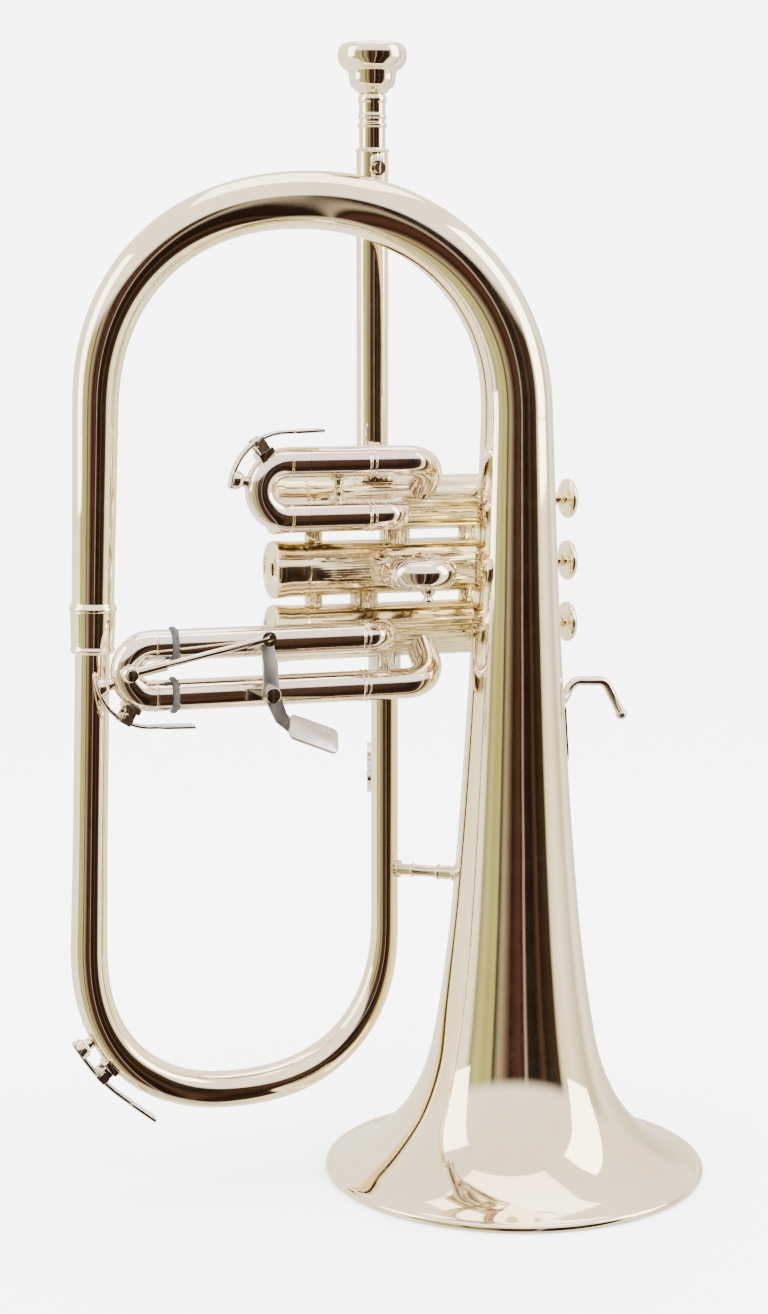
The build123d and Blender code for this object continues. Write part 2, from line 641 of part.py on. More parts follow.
brace_z = 118.0
reach = Vector(bell_x - leg_x, bell_y, 0)
brace_plane = Plane((leg_x, 0, brace_z), z_dir=reach.normalized())
lower_brace = brace_plane * turned([(0, 4.0), (3.6, 4.0), (3.6, 6.6), (2.3, 7.2), (2.3, 11.4), (3.0, 12.2), (2.3, 13.0),
                                    (2.3, 22.2), (3.2, 23.0), (2.8, 24.0), (2.8, 29.0), (3.6, 30.0), (3.6, 40.0),
                                    (0, 40.0)])
lower_brace = lower_brace - bell_core - Pos(leg_x, 0, brace_z) * Cylinder(leg_radius, 40)

hook_path = FilletPolyline((bell_x + 19.6, bell_y, 187.0), (73.5, bell_y, 196.5), (87.5, bell_y, 195.8),
                           (94.8, bell_y, 182.0), radius=5.0)
finger_hook = pipe(hook_path, 1.9, 0) + Pos(94.8, bell_y, 182.0) * Sphere(2.4) - bell_core
finger_hook = finger_hook + bell_foot(176.5, (1, 0), 26, 8)

ring_z = 156.8
ring_plane = Plane((4.6, 16.4, ring_z), z_dir=(0.944, -0.33, 0))
lyre_ring = extrude(ring_plane * (Circle(10.3) - Circle(7.9)), 1.2, both=True)
lyre_ring = lyre_ring + rod((leg_x, 2.0, ring_z), (1.2, 7.4, ring_z), 2.2)
lyre_ring = lyre_ring - Pos(leg_x, 0, ring_z) * Cylinder(leg_radius, 40)


# Every piece, moved so that the origin lies under the middle of the instrument

left_edge = left_low_x - lower_radius
middle_x = (left_edge + bell_x + bell_radius) / 2
nodes = {
    "bell": bell, "bell_rim_wire": rim, "upper_bow": upper_bow, "bow_ferrule": ferrule, "lower_bow": lower_bow,
    "casing_collars": Part() + [leg_collar, lead_flange], "leadpipe": leadpipe, "receiver": receiver,
    "clamp_screw": clamp_screw, "tuning_bit": bit, "mouthpiece": mouthpiece, "bottom_caps": stack(bottom_cap()),
    "top_caps": stack(top_cap()), "valve_guides": stack(valve_guide()), "balusters": balusters + first_brace,
    "casing_knuckles": knuckles, "first_slide_legs": first_legs, "first_slide_crook": first_crook,
    "second_slide_legs": second_legs, "second_slide_crook": second_crook,
    "second_slide_knob": knob, "third_slide_legs": third_legs, "third_slide_crook": third_crook,
    "third_slide_bumpers": bumpers, "trigger_bracket": bracket, "trigger_pivot_screw": pivot_screw,
    "trigger_lever": lever, "link_stud": stud, "link_rod": link, "bell_braces": bell_braces + lower_brace,
    "finger_hook": finger_hook, "lyre_ring": lyre_ring,
}
felt_ring = turned([(stem_radius + 0.4, 62.8), (8.6, 62.8), (8.6, 65.8), (stem_radius + 0.4, 65.8)])
nodes["top_felts"] = stack(felt_ring)
for number, height in enumerate(valve_heights, start=1):
    nodes[f"valve_casing_{number}"] = casings[number - 1]
    nodes[f"piston_{number}"] = along_x(piston(), height)
    nodes[f"valve_stem_{number}"] = along_x(stem(), height)
    nodes[f"finger_button_{number}"] = along_x(button(), height)
    nodes[f"valve_spring_{number}"] = along_x(spring(), height)
for place, (saddle, blade, cork, screw) in water_keys.items():
    nodes[f"{place}_key_saddle"] = saddle
    nodes[f"{place}_key_lever"] = blade
    nodes[f"{place}_key_cork"] = cork
    nodes[f"{place}_key_screw"] = screw

os.makedirs("parts", exist_ok=True)
for name, shape in nodes.items():
    export_step(Pos(-middle_x, -bell_y, 0) * shape, f"parts/{name}.step")
print(len(nodes), "nodes, moved by", round(-middle_x, 3), -bell_y)
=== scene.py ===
import bpy
import json
import math
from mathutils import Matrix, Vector


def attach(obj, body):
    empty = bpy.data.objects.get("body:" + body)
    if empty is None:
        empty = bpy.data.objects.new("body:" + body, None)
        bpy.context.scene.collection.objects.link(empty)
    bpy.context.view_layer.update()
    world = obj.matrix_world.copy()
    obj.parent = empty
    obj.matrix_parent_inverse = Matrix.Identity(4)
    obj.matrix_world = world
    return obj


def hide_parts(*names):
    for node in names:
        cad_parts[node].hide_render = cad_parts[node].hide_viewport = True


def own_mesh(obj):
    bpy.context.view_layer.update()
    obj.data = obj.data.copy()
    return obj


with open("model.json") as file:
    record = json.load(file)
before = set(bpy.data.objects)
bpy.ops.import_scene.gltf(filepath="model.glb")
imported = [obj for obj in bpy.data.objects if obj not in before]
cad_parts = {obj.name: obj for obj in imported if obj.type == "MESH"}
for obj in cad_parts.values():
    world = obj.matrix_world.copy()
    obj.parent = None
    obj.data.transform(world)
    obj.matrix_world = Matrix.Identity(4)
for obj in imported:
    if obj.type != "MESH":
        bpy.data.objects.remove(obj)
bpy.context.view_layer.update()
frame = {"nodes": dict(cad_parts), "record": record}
print("frame loaded", len(frame["nodes"]), "nodes")

mm = 0.001
moved = Vector((0.95, 34.6, 0.0))  # from the leadpipe's axis to the frame's origin, in mm
smallestRadius = 0.01  # mm, where a turned shape closes on its axis
seamMerge, pathMerge, copyMerge = 0.00003, 0.000001, 0.000002  # merging distances, in metres
bevelSegments = 2


def spot(x, y, z):
    return (Vector((x, y, z)) + moved) * mm


def deselect():
    if bpy.context.object and bpy.context.object.mode != "OBJECT":
        bpy.ops.object.mode_set(mode="OBJECT")
    bpy.ops.object.select_all(action="DESELECT")


def only(piece):
    deselect()
    piece.select_set(True)
    bpy.context.view_layer.objects.active = piece


# finishes

finishLooks = {
    "silver_plate": {
        "tint": (0.93, 0.83, 0.60), "stain": (0.76, 0.63, 0.38),
        "rough": (0.03, 0.075), "cloud": 14, "wave": 0.05},
    "casing_plate": {
        "tint": (0.90, 0.80, 0.52), "stain": (0.70, 0.56, 0.28),
        "rough": (0.07, 0.16), "cloud": 26, "wave": 0.05},
    "slide_plate": {
        "tint": (0.93, 0.83, 0.72), "stain": (0.78, 0.61, 0.46),
        "rough": (0.04, 0.10), "cloud": 22, "wave": 0.06},
    "trim_plate": {
        "tint": (0.88, 0.80, 0.66), "stain": (0.58, 0.45, 0.28),
        "rough": (0.06, 0.16), "cloud": 40, "wave": 0.08},
    "trigger_plate": {
        "tint": (0.66, 0.62, 0.58), "stain": (0.44, 0.38, 0.34),
        "rough": (0.24, 0.42), "cloud": 60, "wave": 0.12},
    "piston_metal": {
        "tint": (0.72, 0.71, 0.68), "stain": (0.55, 0.53, 0.48),
        "rough": (0.18, 0.30), "cloud": 40, "wave": 0.05},
    "spring_steel": {
        "tint": (0.62, 0.62, 0.63), "stain": (0.42, 0.40, 0.38),
        "rough": (0.20, 0.34), "cloud": 60, "wave": 0.05},
}
softLooks = {
    "black_rubber": {
        "tint": (0.018, 0.018, 0.018), "stain": (0.04, 0.038, 0.035),
        "rough": 0.55, "grain": 900, "bump": 0.25},
    "cork": {
        "tint": (0.58, 0.40, 0.23), "stain": (0.30, 0.19, 0.10),
        "rough": 0.85, "grain": 1500, "bump": 0.6},
    "felt": {
        "tint": (0.33, 0.04, 0.05), "stain": (0.18, 0.02, 0.03),
        "rough": 0.95, "grain": 2600, "bump": 0.7},
}

plateDetail = {
    "cloudDetail": 5, "stainFrom": 0.45, "stainTo": 0.85,
    "smearScale": 120, "smearDetail": 6, "smearLow": 0.35, "smearHigh": 0.75,
    "lineStretch": (900, 900, 90), "lineScale": 3.0, "lineShare": 0.25, "lineHeight": 0.0002,
    "swellScale": 34, "swellDetail": 1, "swellHeight": 0.002,
}
softDetail = {"grainDetail": 4, "grainHeight": 0.0003}


def noiseNode(nodes, links, coords, scale, detail):
    noise = nodes.new("ShaderNodeTexNoise")
    noise.inputs["Scale"].default_value = scale
    noise.inputs["Detail"].default_value = detail
    links.new(coords.outputs["Object"], noise.inputs["Vector"])
    return noise


def rampNode(nodes, links, source, low, high, start=0.35, end=0.7):
    ramp = nodes.new("ShaderNodeValToRGB")
    ramp.color_ramp.elements[0].position = start
    ramp.color_ramp.elements[1].position = end
    ramp.color_ramp.elements[0].color = (*low, 1)
    ramp.color_ramp.elements[1].color = (*high, 1)
    links.new(source, ramp.inputs["Fac"])
    return ramp


def bumpNode(nodes, strength, distance):
    bump = nodes.new("ShaderNodeBump")
    bump.inputs["Strength"].default_value = strength
    bump.inputs["Distance"].default_value = distance
    return bump


def platedMetal(name, look):
    material = bpy.data.materials.new(name)
    material.use_nodes = True
    nodes, links = material.node_tree.nodes, material.node_tree.links
    shader = nodes["Principled BSDF"]
    shader.inputs["Metallic"].default_value = 1.0
    coords = nodes.new("ShaderNodeTexCoord")
    cloud = noiseNode(nodes, links, coords, look["cloud"], plateDetail["cloudDetail"])
    tint = rampNode(nodes, links, cloud.outputs["Fac"], look["tint"], look["stain"],
                    plateDetail["stainFrom"], plateDetail["stainTo"])
    links.new(tint.outputs["Color"], shader.inputs["Base Color"])
    # fingerprints and wiping marks
    smear = noiseNode(nodes, links, coords, plateDetail["smearScale"], plateDetail["smearDetail"])
    level = nodes.new("ShaderNodeMapRange")
    level.inputs["From Min"].default_value = plateDetail["smearLow"]
    level.inputs["From Max"].default_value = plateDetail["smearHigh"]
    level.inputs["To Min"].default_value = look["rough"][0]
    level.inputs["To Max"].default_value = look["rough"][1]
    links.new(smear.outputs["Fac"], level.inputs["Value"])
    links.new(level.outputs["Result"], shader.inputs["Roughness"])
    # polishing lines
    stretch = nodes.new("ShaderNodeMapping")
    stretch.inputs["Scale"].default_value = plateDetail["lineStretch"]
    links.new(coords.outputs["Object"], stretch.inputs["Vector"])
    lines = nodes.new("ShaderNodeTexNoise")
    lines.inputs["Scale"].default_value = plateDetail["lineScale"]
    links.new(stretch.outputs["Vector"], lines.inputs["Vector"])
    # slight unevenness of drawn tube
    swell = noiseNode(nodes, links, coords, plateDetail["swellScale"], plateDetail["swellDetail"])
    fine = bumpNode(nodes, look["wave"] * plateDetail["lineShare"], plateDetail["lineHeight"])
    wide = bumpNode(nodes, look["wave"], plateDetail["swellHeight"])
    links.new(lines.outputs["Fac"], fine.inputs["Height"])
    links.new(swell.outputs["Fac"], wide.inputs["Height"])
    links.new(fine.outputs["Normal"], wide.inputs["Normal"])
    links.new(wide.outputs["Normal"], shader.inputs["Normal"])
    return material


def softMaterial(name, look):
    material = bpy.data.materials.new(name)
    material.use_nodes = True
    nodes, links = material.node_tree.nodes, material.node_tree.links
    shader = nodes["Principled BSDF"]
    shader.inputs["Roughness"].default_value = look["rough"]
    coords = nodes.new("ShaderNodeTexCoord")
    grain = noiseNode(nodes, links, coords, look["grain"], softDetail["grainDetail"])
    tint = rampNode(nodes, links, grain.outputs["Fac"], look["stain"], look["tint"])
    links.new(tint.outputs["Color"], shader.inputs["Base Color"])
    bump = bumpNode(nodes, look["bump"], softDetail["grainHeight"])
    links.new(grain.outputs["Fac"], bump.inputs["Height"])
    links.new(bump.outputs["Normal"], shader.inputs["Normal"])
    return material


finishes = {name: platedMetal(name + "Finish", look) for name, look in finishLooks.items()}
finishes.update({name: softMaterial(name + "Finish", look) for name, look in softLooks.items()})
slotOf = {entry["node"]: entry["material_slot"] for entry in frame["record"]["subparts"]}
bodyOf = {node: body for body, nodes in frame["record"]["behaviour"]["bodies"].items() for node in nodes}
print("finishes made", len(finishes))


def finishPiece(piece, nodes, smoothAngle=35):
    only(piece)
    bpy.ops.object.transform_apply(location=True, rotation=True, scale=True)
    bpy.ops.object.shade_smooth_by_angle(angle=math.radians(smoothAngle))
    piece.data.materials.clear()
    piece.data.materials.append(finishes[slotOf[nodes[0]]])
    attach(piece, bodyOf[nodes[0]])
    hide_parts(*nodes)


def rounded(piece, width, angle=35):
    only(piece)
    soften = piece.modifiers.new("soften", "BEVEL")
    soften.width = width * mm
    soften.segments = bevelSegments
    soften.limit_method = "ANGLE"
    soften.angle_limit = math.radians(angle)
    bpy.ops.object.modifier_apply(modifier="soften")


def joined(name, pieces):
    deselect()
    for piece in pieces:
        piece.select_set(True)
    bpy.context.view_layer.objects.active = pieces[0]
    bpy.ops.object.join()
    pieces[0].name = name
    return pieces[0]


def lathe(name, profile, centre, axis="Z", sides=96):
    # a ring is extruded and scaled from station to station, radius and height in mm
    deselect()
    r0, h0 = profile[0]
    radius = max(r0, smallestRadius) * mm
    bpy.ops.mesh.primitive_circle_add(vertices=sides, radius=radius, location=(0, 0, h0 * mm))
    piece = bpy.context.object
    piece.name = name
    bpy.ops.object.transform_apply(location=True, rotation=True, scale=True)
    bpy.ops.object.mode_set(mode="EDIT")
    bpy.ops.mesh.select_mode(type="EDGE")
    bpy.ops.mesh.select_all(action="SELECT")
    for r1, h1 in profile[1:]:
        bpy.ops.mesh.extrude_edges_move(TRANSFORM_OT_translate={"value": (0, 0, (h1 - h0) * mm)})
        scale = max(r1, smallestRadius) / max(r0, smallestRadius)
        bpy.ops.transform.resize(value=(scale, scale, 1), center_override=(0, 0, h1 * mm))
        r0, h0 = r1, h1
    bpy.ops.mesh.select_all(action="SELECT")
    bpy.ops.mesh.remove_doubles(threshold=seamMerge)
    bpy.ops.mesh.normals_make_consistent(inside=False)
    bpy.ops.object.mode_set(mode="OBJECT")
    if axis == "X":
        piece.rotation_euler = (0, math.pi / 2, 0)
    elif axis == "Y":
        piece.rotation_euler = (math.pi / 2, 0, 0)
    elif axis != "Z":
        piece.rotation_euler = axis
    piece.location = spot(*centre)
    only(piece)
    bpy.ops.object.transform_apply(location=True, rotation=True, scale=True)
    return piece


def between(a, b, c, d, t):
    return 0.5 * (2 * b + (c - a) * t + (2 * a - 5 * b + 4 * c - d) * t * t + (3 * b - a - 3 * c + d) * t ** 3)


def smoothLine(points, parts):
    # even curve through profile points
    line = []
    for i in range(len(points) - 1):
        a = points[max(i - 1, 0)]
        b, c = points[i], points[i + 1]
        d = points[min(i + 2, len(points) - 1)]
        for step in range(parts):
            t = step / parts
            line.append(tuple(between(a[k], b[k], c[k], d[k], t) for k in range(len(b))))
    return line + [tuple(points[-1])]


def tube(name, points, radii, wall, fine, smooth=5):
    # a path through control points, bevelled round, made a mesh and given its wall
    deselect()
    bpy.ops.curve.primitive_nurbs_path_add(radius=1)
    piece = bpy.context.object
    piece.name = name
    piece.location = (0, 0, 0)
    curve = piece.data
    curve.splines.clear()
    spline = curve.splines.new("NURBS")
    spline.points.add(len(points) - 1)
    for point, place, radius in zip(spline.points, points, radii):
        point.co = (*spot(*place), 1)
        point.radius = radius
    spline.order_u = 4
    spline.use_endpoint_u = True
    spline.resolution_u = smooth
    curve.dimensions = "3D"
    curve.bevel_depth = mm
    curve.bevel_resolution = fine
    curve.use_fill_caps = False
    only(piece)
    bpy.ops.object.convert(target="MESH")
    bpy.ops.object.mode_set(mode="EDIT")
    bpy.ops.mesh.select_all(action="SELECT")
    bpy.ops.mesh.remove_doubles(threshold=pathMerge)
    bpy.ops.mesh.normals_make_consistent(inside=False)
    bpy.ops.object.mode_set(mode="OBJECT")
    shell = piece.modifiers.new("wall", "SOLIDIFY")
    shell.thickness = wall * mm
    shell.offset = -1
    bpy.ops.object.modifier_apply(modifier="wall")
    return piece


def cleanCopy(node, soften, fatten):
    source = frame["nodes"][node]
    piece = bpy.data.objects.new("polished_" + node, source.data.copy())
    bpy.context.collection.objects.link(piece)
    only(piece)
    bpy.ops.object.mode_set(mode="EDIT")
    bpy.ops.mesh.select_all(action="SELECT")
    bpy.ops.mesh.remove_doubles(threshold=copyMerge)
    bpy.ops.mesh.dissolve_limited(angle_limit=math.radians(1))
    if fatten:
        bpy.ops.transform.shrink_fatten(value=fatten * mm)
    bpy.ops.object.mode_set(mode="OBJECT")
    if soften:
        rounded(piece, soften, 40)
    finishPiece(piece, [node], 30)
    return piece


# bell with its rolled rim

bell = {
    "x": 48.5, "y": -34.6, "wall": 0.6,
    "flare": [
        (14.3, 302), (15.5, 270), (17.1, 230), (19.3, 190), (22.5, 142), (26.3, 98), (30.8, 64),
        (35.4, 42.5), (43.0, 26), (52.5, 14.8), (64.0, 6.6), (73.2, 2.6)],
    "beadRadius": 1.5, "beadCentre": (74.5, 1.4), "beadTurn": (135, -186, -20), "parts": 7, "sides": 192,
}


def offsetLine(line, distance):
    shifted = []
    for i, (r, z) in enumerate(line):
        r0, z0 = line[max(i - 1, 0)]
        r1, z1 = line[min(i + 1, len(line) - 1)]
        size = math.hypot(r1 - r0, z1 - z0)
        shifted.append((r + distance * (z1 - z0) / size, z - distance * (r1 - r0) / size))
    return shifted


def makeBell():
    outside = smoothLine(bell["flare"], bell["parts"])
    inside = offsetLine(outside, bell["wall"])
    inside[0] = (bell["flare"][0][0] - bell["wall"], bell["flare"][0][1])
    centreR, centreZ = bell["beadCentre"]
    bead = []
    for angle in range(*bell["beadTurn"]):
        turn = math.radians(angle)
        bead.append((centreR + bell["beadRadius"] * math.cos(turn),
                     max(centreZ + bell["beadRadius"] * math.sin(turn), 0.0)))
    profile = outside + bead + inside[-2::-1] + [outside[0]]
    piece = lathe("bellFlare", profile, (bell["x"], bell["y"], 0), sides=bell["sides"])
    finishPiece(piece, ["bell", "bell_rim_wire"], 50)


makeBell()
print("bell made")

# upper bow from the bell round to the left tube

bow = {
    "base": 305.7, "square": (2.06, 2.2), "radius": 14.3, "taper": 550.0, "wall": 0.7,
    "leftTop": -114.6, "leftLow": (-119.2, 95.7), "leftY": -6.0, "ferrule": (212.3, 232.0), "bottomRadius": 7.2,
    "leg": (5.2, 5.5, 196.0), "lowerSquare": 2.3, "leftRadius": 6.75, "bellJoin": (302.0, 303.2),
    "footLess": 0.75, "leftShares": (0.1, 0.3, 0.5, 0.7, 0.9, 1.0), "arcStep": 6,
    "legTaperStart": 125, "legTaperLength": 75, "leftFlareStart": 135, "leftFlareLength": 40, "leftPlain": 130,
    "leftDrops": (0, 20, 45, 70), "leftHeights": (135, 118, 106, 99),
    "legHeights": (99, 108, 122, 145, 170, 190), "legPast": 2,
}
slope = (bow["leftTop"] - bow["leftLow"][0]) / (bow["base"] - bow["leftLow"][1])


def leftAxis(z):
    return Vector((bow["leftLow"][0] + slope * (z - bow["leftLow"][1]), bow["leftY"], z))


def squaredArc(angle, half, square):
    c, s = math.cos(math.radians(angle)), math.sin(math.radians(angle))
    size = half / (abs(c) ** square + abs(s) ** square) ** (1 / square)
    return size * c, size * s


def taperRadii(points, radiusAt):
    radii, length = [], 0.0
    for i, point in enumerate(points):
        if i:
            length += (point - points[i - 1]).length
        radii.append(radiusAt(length))
    return radii


def makeUpperBow():
    half = (bell["x"] - bow["leftTop"]) / 2
    middle = (bell["x"] + bow["leftTop"]) / 2
    points = []
    for angle in range(0, 181, bow["arcStep"]):
        x, z = squaredArc(angle, half, bow["square"][0 if angle < 90 else 1])
        share = (bell["x"] - middle - x) / (2 * half)
        points.append(Vector((middle + x, bell["y"] + share * (bow["leftY"] - bell["y"]), bow["base"] + z)))
    radii = taperRadii(points, lambda length: bow["radius"] * math.exp(-length / bow["taper"]))
    archEnd = radii[-1]
    foot = archEnd - bow["footLess"]
    points = [Vector((bell["x"], bell["y"], z)) for z in bow["bellJoin"]] + points
    radii = [bow["radius"]] * len(bow["bellJoin"]) + radii
    top, low = bow["base"], bow["ferrule"][1] - 2
    for share in bow["leftShares"]:
        points.append(leftAxis(top + share * (low - top)))
        radii.append(archEnd + share * (foot - archEnd))
    piece = tube("upperBowTube", points, radii, bow["wall"], 20)
    finishPiece(piece, ["upper_bow"], 50)
    return foot


bowFoot = makeUpperBow()


def makeFerrule():
    low, high = bow["ferrule"]
    length = high - low
    profile = [(6.8, 0), (7.4, 0), (8.0, 0.3), (8.35, 0.9), (8.75, 1.3), (8.8, 1.9), (8.4, 2.5), (8.35, 3.2),
               (bowFoot + 0.75, length - 4), (bowFoot + 0.7, length - 3.2), (bowFoot + 1.15, length - 2.6),
               (bowFoot + 1.2, length - 1.9), (bowFoot + 0.8, length - 1.3), (bowFoot + 0.5, length - 0.8),
               (bowFoot + 0.3, length), (bowFoot + 0.05, length), (bowFoot + 0.05, length - 2.3),
               (6.8, length - 3.4), (6.8, 0)]
    piece = lathe("bowFerruleRings", profile, leftAxis(low), (0, math.atan(slope), 0), 96)
    finishPiece(piece, ["bow_ferrule"], 40)


makeFerrule()


def makeLowerBow():
    legX, legRadius, legTop = bow["leg"]
    lowX, base = bow["leftLow"]
    middle, half = (legX + lowX) / 2, (legX - lowX) / 2
    bend = []
    for angle in range(180, 361, bow["arcStep"]):
        x, z = squaredArc(angle, half, bow["lowerSquare"])
        share = (x + half) / (2 * half)
        bend.append(Vector((middle + x, bow["leftY"] * (1 - share), base + z)))
    full, left = bow["bottomRadius"], bow["leftRadius"]

    def bendRadius(length):
        share = max(length - bow["legTaperStart"], 0) / bow["legTaperLength"]
        return full - (full - legRadius) * min(share, 1)

    radii = taperRadii(bend, bendRadius)
    points, sizes = [], []
    top = bow["ferrule"][1] - 4
    for z in [top - drop for drop in bow["leftDrops"]] + list(bow["leftHeights"]):
        points.append(leftAxis(z))
        flared = left + (full - left) * (bow["leftFlareStart"] - z) / bow["leftFlareLength"]
        sizes.append(left if z > bow["leftPlain"] else flared)
    points += bend
    sizes += radii
    for z in (*bow["legHeights"], legTop + bow["legPast"]):
        points.append(Vector((legX, 0, z)))
        sizes.append(legRadius)
    piece = tube("lowerBowTube", points, sizes, bow["wall"], 16)
    finishPiece(piece, ["lower_bow"], 50)


makeLowerBow()
print("bows made")

# mouthpiece, tuning bit, receiver and leadpipe

pipeParts = {
    "mouthpiece": {"sides": 128, "soften": 0.2, "profile": [
        (2.2, 408.5), (3.9, 408.5), (4.3, 429.9), (4.3, 430.5), (5.3, 430.6), (6.0, 431.4), (7.3, 432.6),
        (8.2, 433.2), (9.0, 434.4), (9.35, 436), (9.4, 437.5), (9.75, 439.4), (10.6, 440.2),
        (11.6, 440.6), (12.4, 441.5), (12.9, 442.4), (13.45, 443.3), (13.7, 444.0), (13.8, 445.5),
        (13.75, 446.9), (13.3, 448.6), (12.6, 449.6), (11.6, 450.2), (10.5, 450.4), (9.5, 450.2),
        (8.8, 449.6), (8.35, 448.6), (7.9, 445.9), (7.3, 443.9), (6.2, 441.9), (4.6, 439.4),
        (2.6, 437.4), (2.0, 434.4), (2.2, 408.5)]},
    "tuning_bit": {"sides": 96, "soften": 0.15, "profile": [
        (3.9, 372), (5.1, 372), (5.3, 374), (5.3, 417.2), (5.9, 417.8), (5.9, 418.6), (5.15, 419.2),
        (5.15, 420.6), (5.8, 421.2), (5.8, 422.0), (5.3, 422.8), (5.3, 426.8), (5.8, 427.6),
        (5.8, 429.0), (5.3, 430.2), (4.35, 430.2), (3.95, 408.2), (3.9, 407.7), (3.9, 372)]},
    "leadpipe": {"sides": 96, "soften": 0.0, "profile": [
        (5.45, 277.6), (6.4, 277.6), (6.4, 330), (6.4, 385), (5.45, 385), (5.45, 277.6)]},
}


def makePipeParts():
    for node, part in pipeParts.items():
        piece = lathe("turned_" + node, part["profile"], (0, 0, 0), sides=part["sides"])
        if part["soften"]:
            rounded(piece, part["soften"], 25)
        finishPiece(piece, [node], 40)


makePipeParts()

# valve caps, stems and buttons

valves = {
    "heights": (267.57, 241.9, 216.23),
    "bottomCap": [
        (2.65, -40.6), (2.65, -42.3), (8.6, -42.3), (9.1, -43.2), (10.3, -43.2), (11.2, -42.8),
        (11.6, -41.9), (11.6, -39.0), (11.25, -36.4), (11.2, -32.0), (11.2, -29.0), (10.4, -29.0),
        (10.4, -35.0), (9.45, -35.0), (9.45, -40.6), (2.65, -40.6)],
    "topCap": [
        (2.68, 65.8), (10.4, 65.8), (10.4, 54.0), (11.3, 54.0), (12.0, 55.5), (12.0, 56.2), (11.7, 56.5),
        (12.0, 56.8), (12.0, 60.6), (11.7, 60.9), (12.0, 61.2), (12.0, 62.0), (11.2, 63.0), (9.8, 66.2),
        (7.6, 67.3), (2.68, 67.3), (2.68, 65.8)],
    "stem": [
        (0, 59.5), (8.8, 59.5), (8.8, 62.4), (2.6, 62.4), (2.6, 84.2), (0, 84.2)],
    "button": [
        (2.6, 83.2), (4.0, 83.2), (6.0, 83.7), (7.4, 84.3), (8.1, 84.8), (8.25, 85.4), (8.2, 86.1),
        (7.8, 86.9), (7.2, 87.3), (5.6, 87.3), (5.2, 86.9), (0, 86.9), (0, 84.2), (2.6, 84.2),
        (2.6, 83.2)],
}


def makeValves():
    bottomCaps, topCaps = [], []
    for number, height in enumerate(valves["heights"], 1):
        place = (0, 0, height)
        bottomCaps.append(lathe("cap", valves["bottomCap"], place, "X"))
        topCaps.append(lathe("cap", valves["topCap"], place, "X"))
        stem = lathe(f"turnedStem{number}", valves["stem"], place, "X", 48)
        rounded(stem, 0.2)
        finishPiece(stem, [f"valve_stem_{number}"])
        button = lathe(f"turnedButton{number}", valves["button"], place, "X", 72)
        rounded(button, 0.15)
        finishPiece(button, [f"finger_button_{number}"])
    bottomPiece, topPiece = joined("turnedBottomCaps", bottomCaps), joined("turnedTopCaps", topCaps)
    rounded(bottomPiece, 0.25)
    rounded(topPiece, 0.12)
    finishPiece(bottomPiece, ["bottom_caps"])
    finishPiece(topPiece, ["top_caps"])


makeValves()
print("valves made")

# slides: legs, crooks and their ring bands

slides = {
    "y": -21.5, "outer": 6.05, "inner": 5.35, "bore": 4.85, "bell": 0.64, "fine": 14,
    "first": {"heights": (285.7, 264.4), "turnX": -42.8, "start": -34.2, "innerEnd": -14.0, "rings": (-9.6, -7.6),
              "ends": ((18.2, 267.57, 11.0), (5.0, 267.57, 8.0)), "crookRing": 1.3, "gap": 0.3},
    "third": {"heights": (216.4, 196.9), "turnX": -97.4, "start": -86.8, "innerEnd": -60.0, "rings": (-12.2, -10.2),
              "ends": ((-1.0, 216.23, 8.0), (18.2, 216.23, 11.0)), "crookRing": 1.6, "gap": 3.4},
}
casingReach = 9.2  # the legs end inside the casing's wall


def straight(start, end, count):
    start, end = Vector(start), Vector(end)
    return [start + (end - start) * (i / (count - 1)) for i in range(count)]


def filletRun(start, corner, target, radius):
    start, corner, target = Vector(start), Vector(corner), Vector(target)
    one, two = (start - corner).normalized(), (target - corner).normalized()
    half = one.angle(two) / 2
    reach = radius / math.tan(half)
    centre = corner + (one + two).normalized() * (radius / math.sin(half))
    first, last = corner + one * reach, corner + two * reach
    arc = []
    armOne, armTwo = (first - centre).normalized(), (last - centre).normalized()
    for step in range(9):
        arc.append(centre + armOne.slerp(armTwo, step / 8) * radius)
    return straight(start, first, 7)[:-1] + arc + straight(last, target, 4)[1:]


def ringBand(x, height, proud=0.4):
    r = slides["outer"]
    half = 0.5
    profile = [(r - 0.3, -half), (r, -half), (r + proud, -half * 0.4), (r + proud, half * 0.4),
               (r, half), (r - 0.3, half), (r - 0.3, -half)]
    return lathe("band", profile, (x, slides["y"], height), "X", 72)


